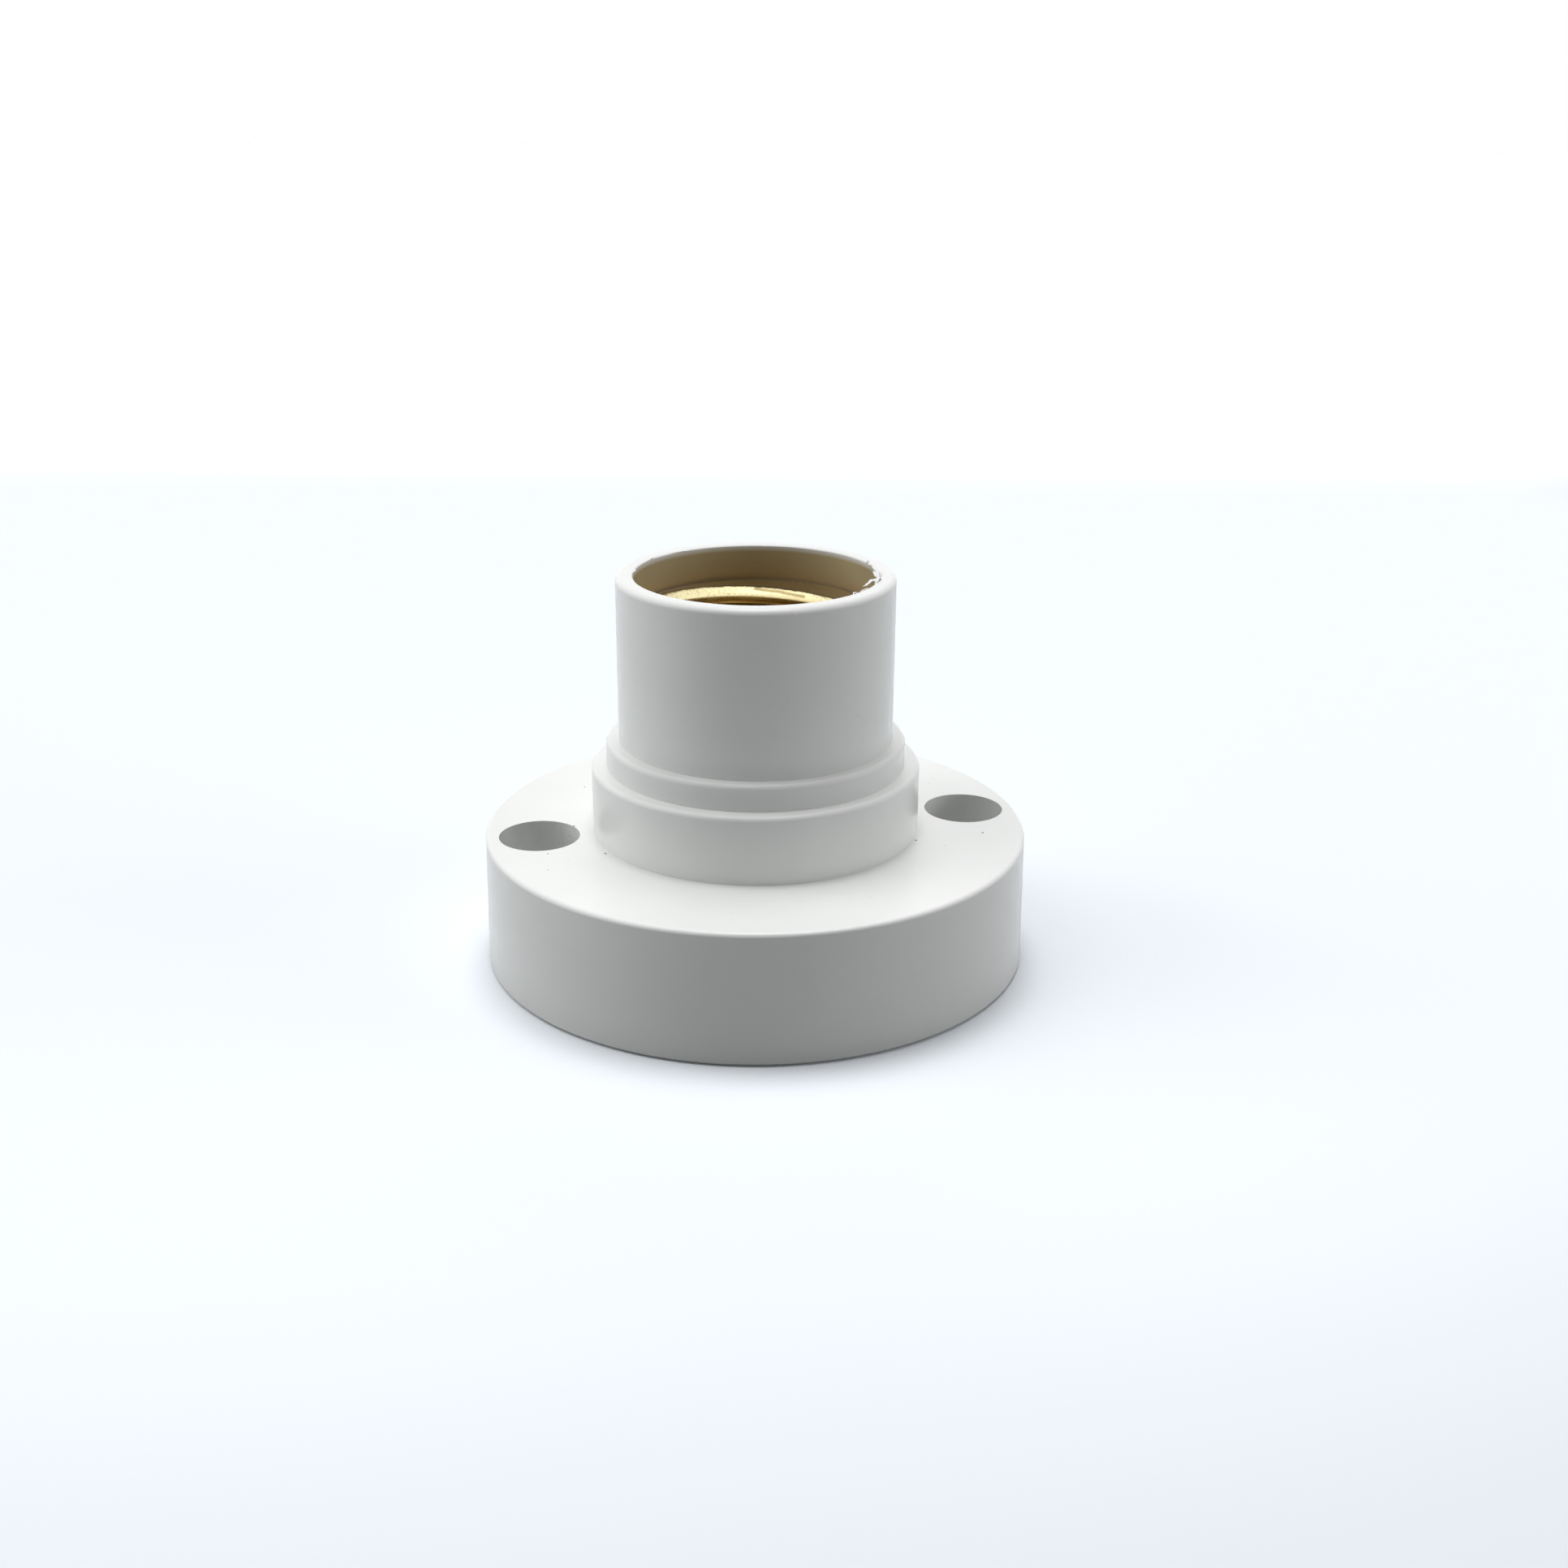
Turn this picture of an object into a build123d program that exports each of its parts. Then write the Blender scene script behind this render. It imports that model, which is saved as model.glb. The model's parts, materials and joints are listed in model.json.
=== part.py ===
"""Lamp holder for surface mounting, with a 27 mm screw lamp thread.

The origin is the middle of the back face that lies on the wall. +Z runs out of the wall along
the barrel, and the two mounting holes lie on X. Sizes are in millimetres.
"""
from build123d import *
import math
import os

# Lamp thread, rolled in sheet: the crest points inwards, the groove outwards
thread_pitch = 3.629
thread_crest_r = 12.25
thread_depth = 1.05
thread_turns = 4.3
groove_foot = 2.55
groove_tip = 1.0
groove_start_deg = -85.0

# Screw shell
shell_wall = 0.35
shell_gap = 0.1
shell_slant_deg = 2.9
shell_slant_turn_deg = -11.0
flange_corner = 0.8
flange_edge = 0.3

# Barrel and mouth of the lamp well
barrel_h = 19.7
barrel_wall = 2.1
barrel_edge = 0.75
mouth_step = 0.45
mouth_depth = 4.3
mouth_edge = 0.25
shell_drop = 0.8

# Collars, each as a step outwards from the one above and a height
collar_high_step = 1.5
collar_high_h = 3.1
collar_low_step = 1.8
collar_low_h = 8.1
collar_edge = 0.6

# Base and mounting holes
base_wall = 2.2
base_draft = 0.25
base_edge = 0.55
base_foot_edge = 0.35
hole_r = 2.3
recess_r = 4.8
recess_floor_t = 3.0
recess_to_collar = 1.7
recess_to_edge = 1.75
tube_wall = 1.8

# Floor of the lamp well, and the core round it that keeps the walls even
well_floor_lift = 3.8
well_floor_t = 3.0
well_wall = 1.7
core_rib_t = 1.6
core_rib_pairs = 2
core_rib_lift = 1.0

# Rivets: the head lies in the well and the tail is closed under the floor
rivet_head_h = 0.5
rivet_tail_h = 0.6
rivet_gap = 0.03
shell_rivet_r = 1.0
shell_rivet_head_r = 1.6
shell_rivet_inset = 0.45
shell_rivet_count = 3
contact_rivet_r = 1.2
contact_rivet_head_r = 1.9
contact_rivet_y = -4.0

# Centre contact, a folded leaf, and the button at its free end
leaf_t = 0.4
leaf_width = 4.6
leaf_back = 6.6
leaf_front = 3.4
leaf_bend_h = 1.5
leaf_bend_r = 0.7
leaf_h = 2.8
leaf_ramp_end = 2.4
leaf_lip = 0.9
button_r = 2.1
button_h = 0.9
button_shank_r = 1.0
button_tail_r = 1.5
button_tail_h = 0.35

# Terminals, washers and screws
wiring_depth = 6.0
terminal_t = 1.0
terminal_width = 7.0
terminal_bend_r = 1.2
terminal_overlap = 2.2
terminal_plate = 8.0
terminal_gap = 0.25
screw_r = 1.75
screw_reach = 2.8
screw_tip = 0.5
screw_head_r = 3.3
screw_head_h = 2.2
screw_head_edge = 0.4
screw_gap = 0.05
slot_w = 1.0
slot_depth = 1.1
washer_side = 7.0
washer_t = 1.0
washer_edge = 0.6
pad_width = 8.0
pad_hole_gap = 0.35
pad_tip_gap = 0.5

# Radii that follow, from the lamp thread outwards
thread_groove_r = thread_crest_r + thread_depth
shell_out_r = thread_crest_r + shell_wall
seat_r = thread_groove_r + shell_wall + shell_gap
mouth_r = seat_r + mouth_step
barrel_r = mouth_r + barrel_wall
collar_high_r = barrel_r + collar_high_step
collar_low_r = collar_high_r + collar_low_step
hole_x = collar_low_r + recess_to_collar + recess_r
base_r = hole_x + recess_r + recess_to_edge
core_in_r = seat_r + well_wall
core_out_r = collar_low_r - base_wall
shell_rivet_circle_r = thread_crest_r - shell_rivet_head_r - shell_rivet_inset
flange_r = shell_rivet_circle_r - shell_rivet_head_r - flange_edge

# Heights that follow, from the wall outwards
washer_z = wiring_depth + screw_head_h
plate_z = washer_z + washer_t + terminal_t
roof_z = plate_z + screw_reach + pad_tip_gap
base_h = roof_z + base_wall
well_floor_z = base_h + well_floor_lift
floor_under_z = well_floor_z - well_floor_t
leaf_top_z = well_floor_z + leaf_h
collar_low_z = base_h + collar_low_h
collar_high_z = collar_low_z + collar_high_h
core_top_z = collar_low_z - base_wall
top_z = collar_high_z + barrel_h
shoulder_z = top_z - mouth_depth
shell_top_z = shoulder_z - shell_drop

# The terminals hug the wall of the cavity under the floor
terminal_leg_y = math.sqrt(core_out_r**2 - (terminal_width / 2) ** 2) - terminal_gap
pad_length = terminal_plate - terminal_bend_r
screw_y = terminal_leg_y + terminal_bend_r + pad_length / 2
screw_length = washer_t + terminal_t + screw_reach

BOTTOM = (Align.CENTER, Align.CENTER, Align.MIN)


def rod(radius, z_low, z_high, x=0.0, y=0.0):
    """A round bar along Z."""
    return Pos(x, y, z_low) * Cylinder(radius, z_high - z_low, align=BOTTOM)


def ring(r_in, r_out, z_low, z_high, x=0.0, y=0.0):
    """A tube along Z."""
    return rod(r_out, z_low, z_high, x, y) - rod(r_in, z_low - 1, z_high + 1, x, y)


def housing_outside():
    """The turned outline of the moulding: base with its draft, two collars and barrel."""
    base_top_r = base_r - base_draft
    foot_slope = base_draft / base_h
    points = [
        (0, 0),
        (base_r - base_foot_edge, 0),
        (base_r - foot_slope * base_foot_edge, base_foot_edge),
        (base_top_r, base_h),
        (collar_low_r, base_h),
        (collar_low_r, collar_low_z),
        (collar_high_r, collar_low_z),
        (collar_high_r, collar_high_z),
        (barrel_r, collar_high_z),
        (barrel_r, top_z),
        (0, top_z),
    ]
    outline = make_face(Polyline(*points, close=True))
    rounded = [
        (base_top_r, base_h, base_edge),
        (collar_low_r, collar_low_z, collar_edge),
        (collar_high_r, collar_high_z, collar_edge),
        (barrel_r, top_z, barrel_edge),
    ]
    for radius, z, edge in rounded:
        corner = outline.vertices().sort_by_distance((radius, z, 0))[0]
        outline = fillet(corner, edge)
    return revolve(Plane.XZ * outline, Axis.Z)


def lamp_well():
    """The mouth and the seat of the shell, open at the top."""
    mouth = rod(mouth_r, shoulder_z, top_z + 1)
    seat = rod(seat_r, well_floor_z, shoulder_z)
    return mouth + seat


def underside():
    """Everything that is open towards the wall."""
    cup = rod(base_r - base_wall, -1, roof_z)
    cavity = rod(core_out_r, roof_z - 1, floor_under_z)
    core = ring(core_in_r, core_out_r, floor_under_z - 1, core_top_z)
    rib_z = floor_under_z + core_rib_lift
    rib = Pos(0, 0, rib_z) * Box(2 * core_out_r + 1, core_rib_t, core_top_z - rib_z, align=BOTTOM)
    for i in range(core_rib_pairs):
        core -= Rot(0, 0, (i + 0.5) * 180 / core_rib_pairs) * rib
    return cup + cavity + core


def mounting_tube(x):
    """The tube round one mounting hole, kept inside the base's outline."""
    tube = rod(recess_r + tube_wall, 0, roof_z + 0.5, x)
    return tube & rod(base_r - base_wall / 2, 0, base_h)


def mounting_hole(x):
    """The screw's clearance hole and the recess for its head."""
    return rod(hole_r, -1, base_h, x) + rod(recess_r, recess_floor_t, base_h + 1, x)


def terminal_pad(side):
    """The block that backs a terminal plate, hollow where the screw's tip goes."""
    pad = Pos(0, side * screw_y, plate_z) * Box(pad_width, pad_length, roof_z + 0.5 - plate_z, align=BOTTOM)
    return pad - rod(screw_r + pad_hole_gap, plate_z - 1, roof_z, 0, side * screw_y)


def rivet_places():
    """The shell's rivets: (x, y), the first one towards +Y."""
    places = []
    for i in range(shell_rivet_count):
        angle = math.radians(90 + i * 360 / shell_rivet_count)
        places.append((shell_rivet_circle_r * math.cos(angle), shell_rivet_circle_r * math.sin(angle)))
    return places


def housing():
    """The one-piece moulding."""
    body = housing_outside() - underside()
    for side in (-1, 1):
        body += mounting_tube(side * hole_x)
        body += terminal_pad(side)
    for side in (-1, 1):
        body -= mounting_hole(side * hole_x)
    body -= lamp_well()
    for x, y in rivet_places():
        body -= rod(shell_rivet_r + rivet_gap, floor_under_z - 1, well_floor_z + 1, x, y)
    body -= rod(contact_rivet_r + rivet_gap, floor_under_z - 1, well_floor_z + 1, 0, contact_rivet_y)
    rim = body.edges().filter_by(GeomType.CIRCLE).filter_by_position(Axis.Z, top_z - 0.01, top_z + 0.01)
    return chamfer(rim.sort_by(SortBy.RADIUS)[0], mouth_edge)


def thread_ridge(root_r, tip_r):
    """The helical ridge that widens a cylinder into a thread groove, up to tip_r."""
    spare = 1.0
    length = (thread_turns + spare) * thread_pitch
    z_start = shell_top_z + spare * thread_pitch - length
    widening = (groove_foot - groove_tip) / thread_depth
    sink = 0.3
    foot = groove_tip + widening * (tip_r - root_r + sink)
    r_foot = root_r - sink
    section = Polyline(
        (r_foot, 0, z_start - foot / 2),
        (tip_r, 0, z_start - groove_tip / 2),
        (tip_r, 0, z_start + groove_tip / 2),
        (r_foot, 0, z_start + foot / 2),
        close=True,
    )
    path = Pos(0, 0, z_start) * Helix(pitch=thread_pitch, height=length, radius=r_foot)
    ridge = sweep(make_face(section), path=path, is_frenet=True)
    return Rot(0, 0, groove_start_deg) * ridge


def screw_shell():
    """The rolled sleeve: its outer form less its inner form, cut off on the thread's slant."""
    spare_z = shell_top_z + 2 * thread_pitch
    outer = rod(shell_out_r, well_floor_z, spare_z)
    bottom_edge = outer.edges().filter_by(GeomType.CIRCLE).sort_by(Axis.Z)[0]
    outer = chamfer(bottom_edge, flange_corner)
    outer += thread_ridge(shell_out_r, thread_groove_r + shell_wall)
    inner = rod(thread_crest_r, well_floor_z + shell_wall, spare_z + 1)
    inner_corner = inner.edges().filter_by(GeomType.CIRCLE).sort_by(Axis.Z)[0]
    inner = chamfer(inner_corner, flange_corner - shell_wall / 2)
    inner += thread_ridge(thread_crest_r, thread_groove_r)
    shell = outer - inner - rod(flange_r, well_floor_z - 1, well_floor_z + 1)
    for x, y in rivet_places():
        shell -= rod(shell_rivet_r + rivet_gap, well_floor_z - 1, well_floor_z + 1, x, y)
    slant = Rot(0, 0, shell_slant_turn_deg) * Rot(0, shell_slant_deg, 0)
    waste = Pos(0, 0, shell_top_z) * slant * Cylinder(2 * mouth_r, 4 * thread_pitch, align=BOTTOM)
    return shell - waste


def strip(points, bend_r, thickness, width, side):
    """A bent strip: its outline in the YZ plane, with the sheet on one side of the line."""
    line = FilletPolyline(*points, radius=bend_r)
    sheet = offset(line, amount=thickness, side=side, closed=True)
    section = make_face(sheet.edges())
    return extrude(Plane.YZ * section, amount=width / 2, both=True)


def centre_contact():
    """The leaf: a foot on the floor, folded back over itself as a sprung tongue."""
    z = well_floor_z
    points = [
        (leaf_front, z),
        (-leaf_back, z),
        (-leaf_back, z + leaf_bend_h),
        (-leaf_ramp_end, leaf_top_z),
        (leaf_front, leaf_top_z),
        (leaf_front + leaf_lip, leaf_top_z - leaf_lip / 2),
    ]
    leaf = strip(points, leaf_bend_r, leaf_t, leaf_width, Side.LEFT)
    leaf -= rod(contact_rivet_r + rivet_gap, z - 1, z + leaf_t + 0.1, 0, contact_rivet_y)
    return leaf - rod(button_shank_r + rivet_gap, leaf_top_z - leaf_t - 0.1, leaf_top_z + 1)


def contact_button():
    """The domed tip that the lamp presses on, closed under the tongue like a rivet."""
    crown_r = (button_r**2 + button_h**2) / (2 * button_h)
    dome = Pos(0, 0, leaf_top_z + button_h - crown_r) * Sphere(crown_r)
    head = dome & rod(button_r, leaf_top_z, leaf_top_z + button_h)
    tail_z = leaf_top_z - leaf_t
    shank = rod(button_shank_r, tail_z - button_tail_h, leaf_top_z)
    return head + shank + rod(button_tail_r, tail_z - button_tail_h, tail_z)


def rivet(x, y, radius, head_r, seat_z, tail_z):
    """A rivet with a domed head on seat_z and a flat tail closed under tail_z."""
    crown_r = (head_r**2 + rivet_head_h**2) / (2 * rivet_head_h)
    dome = Pos(x, y, seat_z + rivet_head_h - crown_r) * Sphere(crown_r)
    head = dome & rod(head_r, seat_z, seat_z + rivet_head_h, x, y)
    shank = rod(radius, tail_z - rivet_tail_h, seat_z, x, y)
    return head + shank + rod(head_r, tail_z - rivet_tail_h, tail_z, x, y)


def terminal(side, rivet_y):
    """The strip from a rivet under the floor down to its screw, for the terminal at side * Y."""
    inner_y = abs(rivet_y) - terminal_overlap
    points = [
        (inner_y, floor_under_z),
        (terminal_leg_y, floor_under_z),
        (terminal_leg_y, plate_z),
        (terminal_leg_y + terminal_plate, plate_z),
    ]
    part = strip(points, terminal_bend_r, terminal_t, terminal_width, Side.RIGHT)
    part -= rod(screw_r + screw_gap, plate_z - terminal_t - 1, plate_z + 1, 0, screw_y)
    if side < 0:
        part = Rot(0, 0, 180) * part
    return part


def clamp_washer(side):
    """The square washer between a screw's head and its terminal plate."""
    plate = Pos(0, side * screw_y, washer_z) * Box(washer_side, washer_side, washer_t, align=BOTTOM)
    plate = fillet(plate.edges().filter_by(Axis.Z), washer_edge)
    return plate - rod(screw_r + screw_gap, washer_z - 1, plate_z, 0, side * screw_y)


def terminal_screw(side):
    """The slotted screw, its head towards the wall."""
    shank = rod(screw_r, washer_z, washer_z + screw_length)
    shank = chamfer(shank.edges().filter_by(GeomType.CIRCLE).sort_by(Axis.Z)[-1], screw_tip)
    head = rod(screw_head_r, washer_z - screw_head_h, washer_z)
    head = chamfer(head.edges().filter_by(GeomType.CIRCLE).sort_by(Axis.Z)[0], screw_head_edge)
    slot = Pos(0, 0, washer_z - screw_head_h) * Box(3 * screw_head_r, slot_w, slot_depth, align=BOTTOM)
    return Pos(0, side * screw_y, 0) * (shank + head - slot)


def build():
    """Every piece by its node's name."""
    under_strip_z = floor_under_z - terminal_t
    places = rivet_places()
    pieces = {
        "housing": housing(),
        "screw_shell": screw_shell(),
        "centre_contact": centre_contact(),
        "contact_button": contact_button(),
    }
    pieces["contact_rivet"] = rivet(
        0, contact_rivet_y, contact_rivet_r, contact_rivet_head_r, well_floor_z + leaf_t, under_strip_z
    )
    for i, (x, y) in enumerate(places):
        tail_z = under_strip_z if i == 0 else floor_under_z
        pieces[f"shell_rivet_{i + 1}"] = rivet(
            x, y, shell_rivet_r, shell_rivet_head_r, well_floor_z + shell_wall, tail_z
        )
    sides = (("centre", -1, contact_rivet_y, contact_rivet_r), ("shell", 1, places[0][1], shell_rivet_r))
    for name, side, rivet_y, rivet_r in sides:
        part = terminal(side, rivet_y)
        part -= rod(rivet_r + rivet_gap, under_strip_z - 1, floor_under_z + 1, 0, rivet_y)
        pieces[f"{name}_terminal"] = part
        pieces[f"{name}_clamp_washer"] = clamp_washer(side)
        pieces[f"{name}_terminal_screw"] = terminal_screw(side)
    return pieces


os.makedirs("parts", exist_ok=True)
for name, piece in build().items():
    piece.label = name
    export_step(piece, f"parts/{name}.step")
    print(name, "volume", round(piece.volume, 2), "solids", len(piece.solids()))
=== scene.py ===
"""Looks of the lamp holder: materials, rolled shell, torn flash on the mouth, dust, light and camera."""
import json
import math
import random

import bmesh
import bpy
from mathutils import Matrix, Vector, noise


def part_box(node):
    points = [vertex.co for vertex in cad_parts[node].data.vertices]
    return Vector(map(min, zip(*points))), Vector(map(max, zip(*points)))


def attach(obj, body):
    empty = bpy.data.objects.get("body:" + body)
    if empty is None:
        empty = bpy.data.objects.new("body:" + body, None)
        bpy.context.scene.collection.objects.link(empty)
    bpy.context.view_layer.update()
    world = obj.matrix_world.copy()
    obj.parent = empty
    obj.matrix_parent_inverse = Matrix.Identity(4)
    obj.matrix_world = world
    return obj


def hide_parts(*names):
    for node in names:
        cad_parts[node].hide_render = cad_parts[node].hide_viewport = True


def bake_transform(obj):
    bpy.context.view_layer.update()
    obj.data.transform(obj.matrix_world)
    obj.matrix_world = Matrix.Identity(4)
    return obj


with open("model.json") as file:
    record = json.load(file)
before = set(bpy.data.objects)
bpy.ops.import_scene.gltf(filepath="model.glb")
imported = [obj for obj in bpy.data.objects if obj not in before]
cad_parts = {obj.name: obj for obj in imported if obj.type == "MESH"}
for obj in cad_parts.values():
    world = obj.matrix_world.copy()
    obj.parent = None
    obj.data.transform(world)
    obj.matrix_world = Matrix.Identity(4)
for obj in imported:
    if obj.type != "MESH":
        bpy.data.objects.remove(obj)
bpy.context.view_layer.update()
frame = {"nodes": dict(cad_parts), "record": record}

MM = 0.001

# Places read from the frame, the top in metres and the shell's foot in millimetres
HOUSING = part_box("housing")
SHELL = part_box("screw_shell")
TOP_Z = HOUSING[1][2]
SHELL_Z = SHELL[0][2] / MM

# Camera: place in metres and angles in radians in the object's frame, fitted to the photograph
CAMERA_DISTANCE = 214.4 * MM
CAMERA_HEIGHT = 100.3 * MM
CAMERA_AROUND = 0.1787
CAMERA_HEADING = 0.1946
CAMERA_PITCH = 0.356
CAMERA_ROLL = 0.0068
CAMERA_LENS = 43.58
CAMERA_CLIP = 0.01
SENSOR_WIDTH = 36.0


def towards(heading, height):
    """Unit vector at a heading, counted to the right of straight back, and a height, both in radians."""
    flat = math.cos(height)
    return Vector((math.sin(heading) * flat, math.cos(heading) * flat, math.sin(height)))


def add_camera():
    """The photograph's viewpoint."""
    data = bpy.data.cameras.new("camera")
    data.lens = CAMERA_LENS
    data.sensor_width = SENSOR_WIDTH
    data.clip_start = CAMERA_CLIP
    camera = bpy.data.objects.new("camera", data)
    bpy.context.scene.collection.objects.link(camera)
    forward = towards(CAMERA_HEADING, -CAMERA_PITCH)
    level_right = Vector((math.cos(CAMERA_HEADING), -math.sin(CAMERA_HEADING), 0))
    level_up = level_right.cross(forward)
    right = level_right * math.cos(CAMERA_ROLL) + level_up * math.sin(CAMERA_ROLL)
    up = level_up * math.cos(CAMERA_ROLL) - level_right * math.sin(CAMERA_ROLL)
    turn = Matrix((right, up, -forward)).transposed()
    place = Vector((
        -CAMERA_DISTANCE * math.sin(CAMERA_AROUND),
        -CAMERA_DISTANCE * math.cos(CAMERA_AROUND),
        CAMERA_HEIGHT,
    ))
    camera.matrix_world = Matrix.Translation(place) @ turn.to_4x4()
    bpy.context.scene.camera = camera


class Graph:
    """A material's or world's node tree, with short calls to add nodes."""

    def __init__(self, owner):
        owner.use_nodes = True
        self.tree = owner.node_tree
        self.tree.nodes.clear()

    def feed(self, socket, value):
        """Gives a socket a value, or another node's socket to read."""
        if isinstance(value, bpy.types.NodeSocket):
            self.tree.links.new(value, socket)
        else:
            socket.default_value = value

    def node(self, kind, inputs=None, **settings):
        """Adds a node; inputs maps a socket's name or number to what it gets."""
        node = self.tree.nodes.new(kind)
        for name, value in settings.items():
            setattr(node, name, value)
        for name, value in (inputs or {}).items():
            self.feed(node.inputs[name], value)
        return node

    def place(self):
        """The place on the object, in metres in its own frame."""
        return self.node("ShaderNodeTexCoord").outputs["Object"]

    def math(self, operation, a, b=0.0, clamp=False):
        """One Math node's result."""
        node = self.node("ShaderNodeMath", {0: a, 1: b}, operation=operation, use_clamp=clamp)
        return node.outputs[0]

    def vector(self, operation, a, b):
        """One Vector Math node of two vectors."""
        return self.node("ShaderNodeVectorMath", {0: a, 1: b}, operation=operation)

    def ramp(self, value, low, high, from_value=0.0, to_value=1.0):
        """A smooth step of value from low to high."""
        inputs = {
            "Value": value, "From Min": low, "From Max": high, "To Min": from_value, "To Max": to_value,
        }
        return self.node("ShaderNodeMapRange", inputs, interpolation_type="SMOOTHSTEP").outputs["Result"]

    def mix(self, factor, a, b):
        """Two colours mixed by factor."""
        node = self.node("ShaderNodeMix", data_type="RGBA")
        for name, value in (("Factor_Float", factor), ("A_Color", a), ("B_Color", b)):
            self.feed(next(s for s in node.inputs if s.identifier == name), value)
        return next(s for s in node.outputs if s.identifier == "Result_Color")

    def noise(self, place, scale, detail=2.0, roughness=0.5):
        """A noise value; scale is the number of features in a metre."""
        inputs = {"Vector": place, "Scale": scale, "Detail": detail, "Roughness": roughness}
        return self.node("ShaderNodeTexNoise", inputs).outputs["Fac"]

    def bump(self, strength, distance, height, normal=None):
        """A bumped normal, on top of another one if that is given; distance in millimetres."""
        inputs = {"Strength": strength, "Distance": distance * MM, "Height": height}
        if normal is not None:
            inputs["Normal"] = normal
        return self.node("ShaderNodeBump", inputs).outputs["Normal"]

    def surface(self, inputs):
        """The Principled shader with these inputs, as the material's surface."""
        shader = self.node("ShaderNodeBsdfPrincipled", inputs)
        self.node("ShaderNodeOutputMaterial", {"Surface": shader.outputs["BSDF"]})


def rgba(red, green, blue):
    return (red, green, blue, 1.0)


# The mouth and the ledge in it, in millimetres
MOUTH_R = 14.3
LEDGE_Z = 42.3

# Painted shade inside the mouth, tan with a painted reflection of the brass, and darkest on the ledge and
# on faces that look up: its colours, and where it changes: millimetres under the top, then millimetres over
# the ledge, then how far a face looks up
MOUTH_SHADE_HIGH = rgba(0.49, 0.41, 0.25)
MOUTH_SHADE_LOW = rgba(0.55, 0.40, 0.22)
LEDGE_SHADE = rgba(0.43, 0.32, 0.18)
SHELF_SHADE = rgba(0.15, 0.11, 0.065)
MOUTH_SHADE_UNDER_LIP = (0.9, 0.25)
MOUTH_SHADE_IN_WELL = (-8, -4)
BRASS_REFLECTION_FROM = (-0.3, 2.3)
LEDGE_SHADE_FROM = (0.05, 0.4)
SHELF_SHADE_LOOKS_UP = (0.3, 0.9)
MOUTH_MARGIN = 0.02

# Colours of the moulding and of its marks
PLASTIC_DARK = rgba(0.80, 0.812, 0.80)
PLASTIC_LIGHT = rgba(0.83, 0.842, 0.83)
SCRATCH_COLOUR = rgba(0.55, 0.55, 0.54)
SCRATCH_SHARE = 0.5
# Painted highlight: the nick drawn lighter where it catches the light.
NICK_HIGHLIGHT = rgba(0.90, 0.90, 0.89)

# Marks, each from one point to another, with its half width, in millimetres
NICK = ((1.15, -16.2, 46.45), (1.45, -16.3, 45.6), 0.11)
SCRATCH = ((9.02, -13.58, 33.32), (10.78, -12.22, 31.81), 0.05)
# Painted shade: a dark streak just under the shell's rim at the back right.
RIM_SHADE_STREAK = [
    ((2.27, 12.80, 41.36), (5.03, 11.84, 41.13), 0.33),
    ((5.03, 11.84, 41.13), (7.73, 10.08, 40.85), 0.33),
]
RIM_SHADE_SHARE = 0.7
MARK_CORE = 0.3

# Colours of the brass, with a painted highlight at the rim and painted shade below it down the well, and
# where they change, in millimetres over the ledge
BRASS_LIGHT = rgba(0.90, 0.71, 0.37)
BRASS_DEEP = rgba(0.76, 0.56, 0.26)
# Painted highlight on the rim, specked.
RIM_HIGHLIGHT_SPECK = rgba(0.76, 0.60, 0.28)
RIM_HIGHLIGHT = rgba(0.96, 0.87, 0.53)
# Painted shade below the rim, down the well.
WELL_SHADE_LIGHT = rgba(0.34, 0.24, 0.07)
WELL_SHADE_DARK = rgba(0.22, 0.145, 0.04)
RIM_HIGHLIGHT_FROM = (-2.2, -1.4)
WELL_SHADE_UNDER_RIM = (-2.7, -1.7)
WELL_SHADE_OVER_FLOOR = (-19, -15)

STEEL_LIGHT = rgba(0.74, 0.75, 0.76)
STEEL_DARK = rgba(0.62, 0.62, 0.60)
DUST_COLOUR = rgba(0.20, 0.19, 0.17)
WHITE = rgba(1.0, 1.0, 1.0)


def over_ledge(heights):
    """Heights in metres from millimetres over the ledge."""
    return [(LEDGE_Z + height) * MM for height in heights]


def painted_mouth_shade(graph, place):
    """How far painted shade covers the inside of the mouth, and its colour: a tan that stands in for the
    shade there and for light thrown back from the brass.

    It is browner towards the brass, a painted reflection of it, and darkest on the ledge and on faces that
    look up, painted shade against the light that falls on them.
    """
    x, y, z = graph.node("ShaderNodeSeparateXYZ", {"Vector": place}).outputs[:3]
    squares = graph.math("ADD", graph.math("MULTIPLY", x, x), graph.math("MULTIPLY", y, y))
    inside = graph.math("LESS_THAN", graph.math("SQRT", squares), (MOUTH_R - MOUTH_MARGIN) * MM)
    lip_low, lip_high = [TOP_Z - depth * MM for depth in MOUTH_SHADE_UNDER_LIP]
    below_lip = graph.ramp(z, lip_low, lip_high, 1.0, 0.0)
    in_well = graph.ramp(z, *over_ledge(MOUTH_SHADE_IN_WELL))
    shade_mask = graph.math("MULTIPLY", graph.math("MULTIPLY", inside, below_lip), in_well)
    # Browner towards the brass: a painted reflection of it.
    tan = graph.mix(graph.ramp(z, *over_ledge(BRASS_REFLECTION_FROM)), MOUTH_SHADE_LOW, MOUTH_SHADE_HIGH)
    colour = graph.mix(graph.ramp(z, *over_ledge(LEDGE_SHADE_FROM)), LEDGE_SHADE, tan)
    normal = graph.node("ShaderNodeNewGeometry").outputs["Normal"]
    upwards = graph.node("ShaderNodeSeparateXYZ", {"Vector": normal}).outputs["Z"]
    # Faces that look up are darkened: painted shade against the light that falls on them.
    return shade_mask, graph.mix(graph.ramp(upwards, *SHELF_SHADE_LOOKS_UP), colour, SHELF_SHADE)


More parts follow.
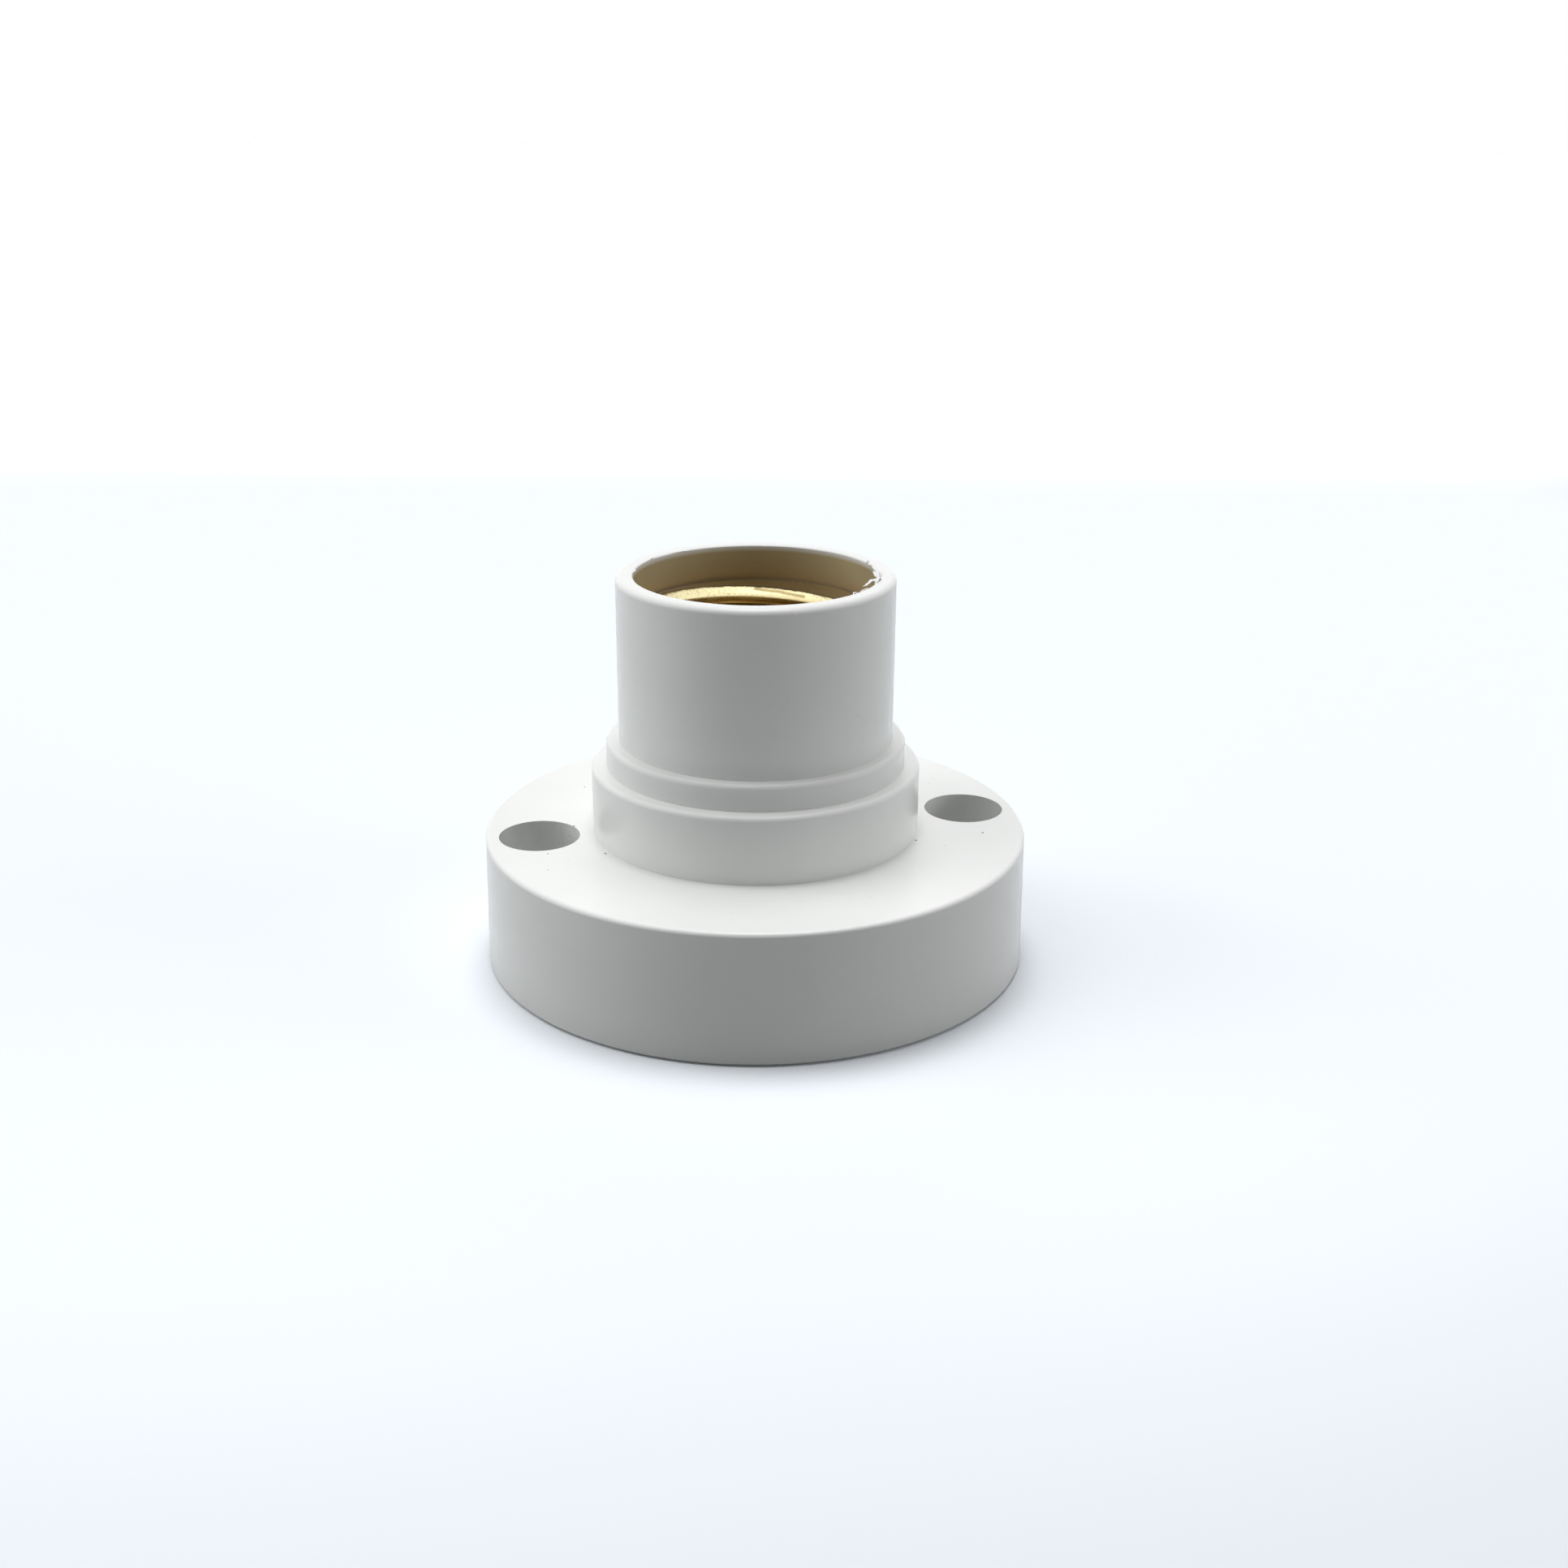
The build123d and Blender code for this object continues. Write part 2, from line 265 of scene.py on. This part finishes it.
def mark(graph, place, start, end, half_width):
    """1 along the line from start to end, 0 away from it."""
    start = Vector(start) * MM
    run = Vector(end) * MM - start
    off = graph.vector("SUBTRACT", place, start).outputs[0]
    along = graph.vector("DOT_PRODUCT", off, run / run.length_squared)
    share = graph.math("MULTIPLY", along.outputs["Value"], 1.0, clamp=True)
    nearest = graph.node("ShaderNodeVectorMath", {0: run, "Scale": share}, operation="SCALE")
    away = graph.vector("DISTANCE", off, nearest.outputs[0]).outputs["Value"]
    return graph.ramp(away, MARK_CORE * half_width * MM, half_width * MM, 1.0, 0.0)


def plastic_material():
    """Off-white moulding: satin gloss, faint flow marks, painted shade and brass reflection in the mouth, a
    nick in the lip drawn lighter as a painted highlight, and a scratch.
    """
    material = bpy.data.materials.new("moulded_plastic")
    graph = Graph(material)
    place = graph.place()
    flow = graph.noise(place, 45, 3)
    clean = graph.mix(graph.ramp(flow, 0.3, 0.7), PLASTIC_DARK, PLASTIC_LIGHT)
    # Painted shade, with a painted reflection of the brass, inside the mouth.
    shade_mask, tan = painted_mouth_shade(graph, place)
    nick = mark(graph, place, *NICK)
    scratch = graph.math("MULTIPLY", mark(graph, place, *SCRATCH), SCRATCH_SHARE)
    # The nick's lighter colour is a painted highlight; its bump and the scratch are real marks.
    marked = graph.mix(nick, graph.mix(scratch, clean, SCRATCH_COLOUR), NICK_HIGHLIGHT)
    grain = graph.bump(0.06, 0.05, graph.noise(place, 9000, 2))
    ripple = graph.bump(0.25, 0.04, graph.noise(place, 160, 1), grain)
    graph.surface({
        "Base Color": graph.mix(shade_mask, marked, tan),
        "Roughness": graph.ramp(graph.noise(place, 300, 3), 0.3, 0.75, 0.22, 0.26),
        "IOR": 1.5,
        "Normal": graph.bump(0.8, 0.06, nick, ripple),
    })
    return material


def brass_material():
    """Rolled brass: a specked painted highlight at the rim, painted shade below it down the well and in a
    streak under the rim, plain elsewhere.
    """
    material = bpy.data.materials.new("brass")
    graph = Graph(material)
    place = graph.place()
    height = graph.node("ShaderNodeSeparateXYZ", {"Vector": place}).outputs["Z"]
    cloud = graph.noise(place, 220, 4, 0.6)
    grain = graph.noise(place, 3600, 3, 0.65)
    plain = graph.mix(graph.ramp(cloud, 0.35, 0.75), BRASS_LIGHT, BRASS_DEEP)
    # Painted highlight, specked, on the rim where it catches the light.
    rim_highlight = graph.mix(graph.ramp(grain, 0.30, 0.50), RIM_HIGHLIGHT_SPECK, RIM_HIGHLIGHT)
    plain_and_highlight = graph.mix(graph.ramp(height, *over_ledge(RIM_HIGHLIGHT_FROM)), plain, rim_highlight)
    # Painted shade below the rim and down the well, standing in for the dark inside.
    well_shade_colour = graph.mix(graph.ramp(cloud, 0.3, 0.7), WELL_SHADE_LIGHT, WELL_SHADE_DARK)
    below_rim = graph.ramp(height, *over_ledge(WELL_SHADE_UNDER_RIM), 1.0, 0.0)
    painted_shade = graph.math("MULTIPLY", below_rim, graph.ramp(height, *over_ledge(WELL_SHADE_OVER_FLOOR)))
    # Painted shade in a streak just under the rim.
    for line in RIM_SHADE_STREAK:
        rim_shade = graph.math("MULTIPLY", mark(graph, place, *line), RIM_SHADE_SHARE)
        painted_shade = graph.math("MAXIMUM", painted_shade, rim_shade)
    graph.surface({
        "Base Color": graph.mix(painted_shade, plain_and_highlight, well_shade_colour),
        "Metallic": 1.0,
        "Roughness": graph.ramp(cloud, 0.3, 0.8, 0.20, 0.34),
        "Normal": graph.bump(0.4, 0.04, grain),
    })
    return material


def steel_material():
    """Zinc-plated steel of the terminal screws and washers."""
    material = bpy.data.materials.new("plated_steel")
    graph = Graph(material)
    place = graph.place()
    cloud = graph.noise(place, 700, 4, 0.6)
    graph.surface({
        "Base Color": graph.mix(graph.ramp(cloud, 0.3, 0.7), STEEL_LIGHT, STEEL_DARK),
        "Metallic": 1.0,
        "Roughness": graph.ramp(cloud, 0.3, 0.7, 0.24, 0.4),
        "Normal": graph.bump(0.3, 0.03, graph.noise(place, 4000, 2)),
    })
    return material


def dust_material():
    """Dull dark grains."""
    material = bpy.data.materials.new("dust")
    Graph(material).surface({"Base Color": DUST_COLOUR, "Roughness": 0.9})
    return material


def seen_directly(graph):
    """1 for camera, glossy and transmission rays, 0 for rays that light the object."""
    path = graph.node("ShaderNodeLightPath")
    seen = graph.math("MAXIMUM", path.outputs["Is Camera Ray"], path.outputs["Is Glossy Ray"])
    return graph.math("MAXIMUM", seen, path.outputs["Is Transmission Ray"])


# Floor: its colours as seen near and farther off, where painted shade darkens it, and as it lights the
# object, and its measures in metres
FLOOR_NEAR = rgba(0.86, 0.90, 0.95)
FLOOR_SHADE = rgba(0.70, 0.735, 0.775)
FLOOR_LIT = rgba(0.28, 0.283, 0.286)
FLOOR_R = 3.0
FLOOR_Z = -0.02 * MM
FLOOR_STEPS = 96
OPENING_R = 32.15 * MM

# Discs of floor under the mounting holes
HOLE_X = 26.1 * MM
HOLE_COVER_R = 2.4 * MM
HOLE_COVER_STEPS = 48

# Where painted shade darkens the floor and where it turns white: round a middle, and behind the object
FLOOR_MIDDLE = (-0.02, 0.20, 0)
FLOOR_SHADE_FROM = (0.26, 0.34)
FLOOR_WHITE_FROM = (0.34, 0.50)
FLOOR_WHITE_BEHIND = (0.27, 0.33)


def round_face(build, x, radius, steps):
    """Vertices of a circle on the floor."""
    turns = [2 * math.pi * i / steps for i in range(steps)]
    return [build.verts.new((x + radius * math.cos(t), radius * math.sin(t), FLOOR_Z)) for t in turns]


def floor_material():
    """Pale to the eye with painted shade farther off, darker as it lights the object, and see-through for the
    camera from below.
    """
    material = bpy.data.materials.new("floor")
    graph = Graph(material)
    place = graph.place()
    off_middle = graph.vector("DISTANCE", place, FLOOR_MIDDLE).outputs["Value"]
    behind = graph.vector("DOT_PRODUCT", place, towards(CAMERA_HEADING, 0)).outputs["Value"]
    # Painted shade: the floor darker farther from a middle.
    near_with_shade = graph.mix(graph.ramp(off_middle, *FLOOR_SHADE_FROM), FLOOR_NEAR, FLOOR_SHADE)
    white_behind = graph.ramp(behind, *FLOOR_WHITE_BEHIND)
    white_round = graph.ramp(off_middle, *FLOOR_WHITE_FROM)
    shown = graph.mix(graph.math("MAXIMUM", white_behind, white_round), near_with_shade, WHITE)
    colour = graph.mix(seen_directly(graph), FLOOR_LIT, shown)
    diffuse = graph.node("ShaderNodeBsdfDiffuse", {"Color": colour})
    clear = graph.node("ShaderNodeBsdfTransparent")
    below = graph.node("ShaderNodeNewGeometry").outputs["Backfacing"]
    from_below = graph.math("MULTIPLY", below, graph.node("ShaderNodeLightPath").outputs["Is Camera Ray"])
    surface = graph.node("ShaderNodeMixShader", {
        "Fac": from_below, 1: diffuse.outputs[0], 2: clear.outputs[0],
    })
    graph.node("ShaderNodeOutputMaterial", {"Surface": surface.outputs[0]})
    return material


def add_floor():
    """A pale floor that runs out into a white backdrop and keeps the object's shadow.

    It throws back little light, and is open under the object, away from the mounting holes, so that
    the underside is lit.
    """
    build = bmesh.new()
    inner = round_face(build, 0, OPENING_R, FLOOR_STEPS)
    outer = round_face(build, 0, FLOOR_R, FLOOR_STEPS)
    for i in range(FLOOR_STEPS):
        k = (i + 1) % FLOOR_STEPS
        build.faces.new((inner[i], outer[i], outer[k], inner[k]))
    for x in (-HOLE_X, HOLE_X):
        build.faces.new(round_face(build, x, HOLE_COVER_R, HOLE_COVER_STEPS))
    floor = built_object("floor", build, floor_material())


# Soft lights: strength, degrees to the right of straight back, height and half width in degrees.
# The last is for the underside.
SOFT_LIGHTS = [
    (8.20, 0, 82, 20),
    (3.15, 0, 74, 20),
    (3.30, -88, 55, 25),
    (1.00, -120, 8, 28),
    (2.50, -81, 8, 28),
    (3.20, 97, 8, 30),
    (0.40, 60, 50, 28),
    (1.65, 0, 5, 28),
    (2.60, 0, -90, 45),
]


def add_world():
    """Light from above and a little behind, and low from both sides and behind, over a white background.

    Gloss shows the white background too, so that pale tops don't clip where they mirror the lamps.
    """
    world = bpy.data.worlds.new("studio")
    bpy.context.scene.world = world
    graph = Graph(world)
    direction = graph.node("ShaderNodeTexCoord").outputs["Generated"]
    level = 0.0
    for strength, turn, height, width in SOFT_LIGHTS:
        middle = towards(CAMERA_HEADING + math.radians(turn), math.radians(height))
        facing = graph.vector("DOT_PRODUCT", direction, middle).outputs["Value"]
        lobe = graph.ramp(facing, math.cos(math.radians(width)), 1.0, 0.0, strength)
        level = graph.math("ADD", lobe, level)
    light = graph.node("ShaderNodeBackground", {"Color": WHITE, "Strength": level})
    white = graph.node("ShaderNodeBackground", {"Color": WHITE, "Strength": 1.0})
    mix = graph.node("ShaderNodeMixShader", {
        "Fac": seen_directly(graph), 1: light.outputs[0], 2: white.outputs[0],
    })
    graph.node("ShaderNodeOutputWorld", {"Surface": mix.outputs[0]})


# The rolled shell, in millimetres, as in the solid
RIM_Z = 41.5
RIM_SLANT = math.radians(2.9)
RIM_TURN = math.radians(-11)
RIM_R = 13.3
SHEET = 0.35
CREST_R = 12.25
GROOVE_DEPTH = 1.05
GROOVE_FLAT = 0.28
GROOVE_FOOT = 1.5
PITCH = 3.629
GROOVE_Z = 25.895
GROOVE_TURN = math.radians(-85)
RUN_IN = 0.3
FLANGE_R = 8.3
CORNER_R = 0.8

# Unevenness of the shell's rim: how much in millimetres, which noise, and how fine
RIM_WAVES = [(0.05, 0, 24), (0.035, 3, 70)]
BURR = 0.05
BURR_WAVE = (0.04, 7, 40)

# The burr on the cut rim: shares of the sheet's thickness and of the burr's height
BURR_SHAPE = [(0.4, 1.0), (0.8, 0.5)]

# Steps of the shell's mesh: round it, up the inside, down the outside and round the flange's corner
SHELL_STEPS = 288
INNER_ROWS = 110
OUTER_ROWS = 46
CORNER_STEPS = 5


def wave(angle, amount, row, scale):
    """An uneven value round the shell; each row is a noise of its own."""
    return amount * noise.noise(Vector((math.cos(angle), math.sin(angle), row)) * scale)


def rim_height(angle):
    """Height of the shell's rim, which follows the thread's slant and is a little ragged from the shears."""
    ragged = sum(wave(angle, *row) for row in RIM_WAVES)
    return RIM_Z - math.tan(RIM_SLANT) * RIM_R * math.cos(angle - RIM_TURN) + ragged


def smooth(share):
    """0 to 1 with a soft start and end, for any share of the way."""
    share = min(max(share, 0.0), 1.0)
    return share * share * (3 - 2 * share)


def groove(angle, z):
    """How far the rolled thread widens the shell at this place, in millimetres."""
    turns = (z - GROOVE_Z) / PITCH - (angle - GROOVE_TURN) / (2 * math.pi)
    along = (angle - GROOVE_TURN) / (2 * math.pi) + round(turns)
    off = abs(turns - round(turns)) * PITCH
    slope = (GROOVE_FOOT - off) / (GROOVE_FOOT - GROOVE_FLAT)
    return GROOVE_DEPTH * smooth(slope) * smooth(along / RUN_IN + 0.5)


def flange_corner(middle_r, middle_z, radius, steps):
    """Points of the rounding between the flange and the shell's wall, at these steps of a right angle."""
    turns = [math.radians(90 * i / CORNER_STEPS) for i in steps]
    return [(middle_r + radius * math.sin(t), middle_z - radius * math.cos(t)) for t in turns]


def shell_rows(angle):
    """One section of the shell, from the flange's edge up inside, over the rim and down outside."""
    top = rim_height(angle)
    inner_corner = CORNER_R - SHEET
    foot = SHELL_Z + SHEET + inner_corner
    points = [(FLANGE_R, SHELL_Z + SHEET)]
    points += flange_corner(CREST_R - inner_corner, foot, inner_corner, range(CORNER_STEPS + 1))
    for i in range(1, INNER_ROWS + 1):
        z = foot + (top - foot) * i / INNER_ROWS
        points.append((CREST_R + groove(angle, z), z))
    edge_r = points[-1][0]
    burr = BURR + wave(angle, *BURR_WAVE)
    points += [(edge_r + across * SHEET, top + share * burr) for across, share in BURR_SHAPE]
    foot = SHELL_Z + CORNER_R
    for i in range(OUTER_ROWS, -1, -1):
        z = foot + (top - foot) * i / OUTER_ROWS
        points.append((CREST_R + SHEET + groove(angle, z), z))
    points += flange_corner(CREST_R + SHEET - CORNER_R, foot, CORNER_R, range(CORNER_STEPS - 1, -1, -1))
    points.append((FLANGE_R, SHELL_Z))
    return points


def linked_object(name, data):
    """A new object in the scene."""
    made = bpy.data.objects.new(name, data)
    bpy.context.scene.collection.objects.link(made)
    return made


def built_object(name, build, material):
    """A new object in the scene from a finished build."""
    mesh = bpy.data.meshes.new(name)
    build.to_mesh(mesh)
    build.free()
    mesh.materials.append(material)
    return linked_object(name, mesh)


def mesh_object(name, vertices, faces, material):
    """A smooth mesh in the scene, with its vertices in millimetres."""
    mesh = bpy.data.meshes.new(name)
    mesh.from_pydata([Vector(v) * MM for v in vertices], [], faces)
    mesh.polygons.foreach_set("use_smooth", [True] * len(mesh.polygons))
    mesh.materials.append(material)
    mesh.update()
    return linked_object(name, mesh)


def add_rolled_shell(material):
    """The screw shell with the rounded thread and ragged rim of rolled sheet."""
    vertices = []
    for i in range(SHELL_STEPS):
        angle = 2 * math.pi * i / SHELL_STEPS
        for radius, z in shell_rows(angle):
            vertices.append((radius * math.cos(angle), radius * math.sin(angle), z))
    rows = len(vertices) // SHELL_STEPS
    faces = []
    for i in range(SHELL_STEPS):
        here = i * rows
        there = (i + 1) % SHELL_STEPS * rows
        for j in range(rows):
            k = (j + 1) % rows
            faces.append((here + j, here + k, there + k, there + j))
    shell = mesh_object("rolled_shell", vertices, faces, material)
    shell.data.set_sharp_from_angle(angle=math.radians(50))
    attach(shell, "root")
    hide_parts("screw_shell")


# Flash torn from the mouth's inner edge, as strips through a few points: degrees round the barrel,
# reach inwards, height over the lip and width in millimetres, and tilt in degrees
FLASH = [
    [(-18, -0.2, -0.1, 0.3, 0), (-22, 0.2, 0.05, 0.6, 25), (-26, 0.4, 0.14, 0.75, -15),
     (-30, 0.55, 0.10, 0.6, 30), (-33.5, 0.72, 0.02, 0.35, 5), (-36.5, 0.85, -0.08, 0.06, 0)],
    [(-19, 0.0, -0.1, 0.35, -10), (-23, -0.1, 0.12, 0.5, 40), (-27, 0.02, 0.05, 0.35, 10),
     (-30, -0.05, -0.1, 0.1, 0)],
    [(-7, 0.0, -0.1, 0.2, 0), (-10, 0.28, 0.10, 0.7, 35), (-13, 0.42, 0.26, 0.8, -25),
     (-16, 0.30, 0.16, 0.6, 20), (-19, 0.05, -0.05, 0.3, 0)],
    [(-9, -0.15, -0.05, 0.15, 20), (-12.5, -0.12, 0.22, 0.4, 60), (-15.5, -0.15, 0.0, 0.15, 20)],
    [(12, 0.0, -0.12, 0.1, 0), (8, 0.10, -0.02, 0.3, 15), (3, 0.16, 0.04, 0.35, -10),
     (-2, 0.22, 0.06, 0.45, 15), (-7, 0.1, -0.1, 0.2, 0)],
    [(14, 0.0, -0.1, 0.1, 0), (12, 0.05, 0.14, 0.4, 65), (10.5, 0.0, -0.08, 0.15, 30)],
    [(-37, 0.0, -0.12, 0.1, 0), (-41, 0.16, -0.05, 0.3, 10), (-45, 0.06, -0.12, 0.15, 0)],
    [(-46.5, 0.0, -0.12, 0.1, 0), (-49, 0.24, 0.06, 0.35, 25), (-51, 0.0, -0.1, 0.12, 0)],
    [(124, 0.0, -0.12, 0.08, 0), (119, 0.12, -0.06, 0.25, 0), (114, 0.0, -0.12, 0.08, 0)],
    [(150, 0.0, -0.12, 0.1, 0), (146, 0.18, 0.0, 0.3, 20), (142, 0.1, 0.05, 0.3, -10),
     (138, 0.0, -0.1, 0.1, 0)],
    [(168, 0.0, -0.12, 0.08, 0), (164, 0.15, -0.04, 0.25, 10), (161, 0.0, -0.12, 0.08, 0)],
]
FLASH_STEPS = 7
FLASH_THICK = 0.13
FLASH_THINNING = 0.75
CRUMPLE = [(0.10, 1.7), (0.05, 5.0)]
TORN_EDGE = (0.25, 4.0)
ACROSS = (-1.0, -0.5, 0.0, 0.5, 1.0)


def smooth_path(points, steps):
    """The points with smooth ones between them."""
    ends = [points[0], *points, points[-1]]
    path = []
    for i in range(len(points) - 1):
        for k in range(steps):
            t = k / steps
            weights = (
                (-t + 2 * t**2 - t**3) / 2,
                (2 - 5 * t**2 + 3 * t**3) / 2,
                (t + 4 * t**2 - 3 * t**3) / 2,
                (t**3 - t**2) / 2,
            )
            columns = zip(*ends[i:i + 4])
            path.append([sum(w * p for w, p in zip(weights, column)) for column in columns])
    path.append(list(points[-1]))
    return path


def uneven(point, amount, scale):
    """An uneven value that depends on the place alone."""
    return amount * noise.noise(point * scale)


def flash_section(degrees, reach, height, width, tilt):
    """The closed outline of a strip at one place, thin at its edges and crumpled."""
    turn = math.radians(degrees)
    outwards = Vector((math.cos(turn), math.sin(turn), 0))
    lean = math.radians(tilt)
    across = outwards * math.cos(lean) + Vector((0, 0, math.sin(lean)))
    upwards = Vector((0, 0, math.cos(lean))) - outwards * math.sin(lean)
    middle = outwards * (MOUTH_R - reach) + Vector((0, 0, TOP_Z / MM + height))
    outline = []
    for side, order in ((1, ACROSS), (-1, ACROSS[::-1])):
        for s in order:
            point = middle + across * (s * width / 2)
            crumple = sum(uneven(point, *layer) for layer in CRUMPLE)
            thick = FLASH_THICK * (1 - FLASH_THINNING * s * s) * min(1, 4 * width)
            ragged = 1 + uneven(point, *TORN_EDGE) * abs(s)
            outline.append(
                middle + across * (s * width / 2 * ragged) + upwards * (crumple + side * thick / 2)
            )
    return outline


def add_flash(material):
    """Thin torn strips of moulding flash on the mouth's inner edge."""
    vertices = []
    faces = []
    count = 2 * len(ACROSS)
    for points in FLASH:
        first = len(vertices)
        path = smooth_path(points, FLASH_STEPS)
        for place in path:
            vertices += flash_section(*place)
        for i in range(len(path) - 1):
            here = first + i * count
            for j in range(count):
                k = (j + 1) % count
                faces.append((here + j, here + k, here + count + k, here + count + j))
        last = first + (len(path) - 1) * count
        faces.append(tuple(range(first, first + count)))
        faces.append(tuple(range(last + count - 1, last - 1, -1)))
    flash = mesh_object("mouth_flash", vertices, faces, material)
    build = bmesh.new()
    build.from_mesh(flash.data)
    bmesh.ops.recalc_face_normals(build, faces=build.faces)
    build.to_mesh(flash.data)
    build.free()
    flash.data.set_sharp_from_angle(angle=math.radians(60))
    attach(flash, "root")


# Rounded edges of the moulding, in millimetres: radius and height of the rounding's middle, and its radius
ROUND_EDGES = [
    (31.8584, 15.15, 0.55),
    (19.0, 23.2, 0.6),
    (17.2, 26.3, 0.6),
    (15.55, 45.85, 0.75),
    (14.45, 46.35, 0.25),
]

# How far under a rounding's middle and off its surface a corner of the mesh still counts as on it
UNDER_MIDDLE = 0.002
OFF_SURFACE = 0.004


def same_shape(node, name):
    """A new piece with the mesh of a node of the frame."""
    source = frame["nodes"][node]
    piece = linked_object(name, source.data.copy())
    piece.matrix_world = source.matrix_world.copy()
    return piece


def add_moulding():
    """The housing as its solid, with the shading of its rounded edges worked out from their radii."""
    moulding = same_shape("housing", "moulding")
    mesh = moulding.data
    normals = [corner.vector.copy() for corner in mesh.corner_normals]
    for loop in mesh.loops:
        place = mesh.vertices[loop.vertex_index].co / MM
        outwards = Vector((place.x, place.y, 0))
        radius = outwards.length
        for middle_r, middle_z, edge in ROUND_EDGES:
            off_r = radius - middle_r
            off_z = place.z - middle_z
            if off_z > -UNDER_MIDDLE and abs(math.hypot(off_r, off_z) - edge) < OFF_SURFACE:
                normals[loop.index] = (outwards * (off_r / radius) + Vector((0, 0, off_z))).normalized()
    mesh.normals_split_custom_set(normals)
    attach(moulding, "root")
    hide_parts("housing")


def add_leaf():
    """The centre contact's leaf as a copy of its solid, with its place baked into the mesh."""
    leaf = same_shape("centre_contact", "contact_leaf")
    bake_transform(leaf)
    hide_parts("centre_contact")


# Specks of dust that lie on the moulding: place and size in millimetres
DUST = [
    (-25.57, -5.81, 0.30), (-21.83, 2.33, 0.34), (-22.6, -0.7, 0.22), (-25.94, -10.65, 0.24),
    (-19.0, -6.9, 0.34), (26.16, -8.35, 0.40), (17.6, -9.3, 0.36), (-19.3, 15.5, 0.30),
    (-22.1, -1.5, 0.16), (20.6, -11.4, 0.14), (-23.4, -8.2, 0.13), (8.4, -24.6, 0.14),
    (-7.2, -26.1, 0.12), (24.2, 9.1, 0.16),
]
BASE_TOP_Z = 15.7

# Shape of a speck, as shares of its size
DUST_SEED = 3
DUST_WIDTH = (0.3, 0.6)
DUST_HEIGHT = 0.25
DUST_LIFT = 0.08
DUST_UNEVEN = 0.10


def add_dust():
    """Small dark grains on the base's top face."""
    rolls = random.Random(DUST_SEED)
    build = bmesh.new()
    for x, y, size in DUST:
        turn = Matrix.Rotation(rolls.uniform(0, math.pi), 4, "Z")
        shape = Matrix.Diagonal((size, size * rolls.uniform(*DUST_WIDTH), size * DUST_HEIGHT, 1))
        place = Matrix.Translation((x, y, BASE_TOP_Z + size * DUST_LIFT))
        made = bmesh.ops.create_icosphere(build, subdivisions=1, radius=0.5, matrix=place @ turn @ shape)
        for vertex in made["verts"]:
            vertex.co += Vector((rolls.uniform(-1, 1), rolls.uniform(-1, 1), 0)) * size * DUST_UNEVEN
    for vertex in build.verts:
        vertex.co *= MM
    dust = built_object("dust", build, dust_material())
    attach(dust, "root")


def dress_frame(materials):
    """Gives each node of the frame its material."""
    for row in frame["record"]["subparts"]:
        node = frame["nodes"][row["node"]]
        node.data.materials.clear()
        node.data.materials.append(materials[row["material_slot"]])


def main():
    """Builds the whole scene round the frame."""
    add_camera()
    add_world()
    add_floor()
    materials = {
        "moulded_plastic": plastic_material(),
        "brass": brass_material(),
        "plated_steel": steel_material(),
    }
    dress_frame(materials)
    add_moulding()
    add_leaf()
    add_rolled_shell(materials["brass"])
    add_flash(materials["moulded_plastic"])
    add_dust()
    bpy.context.scene.view_settings.view_transform = "Standard"


main()
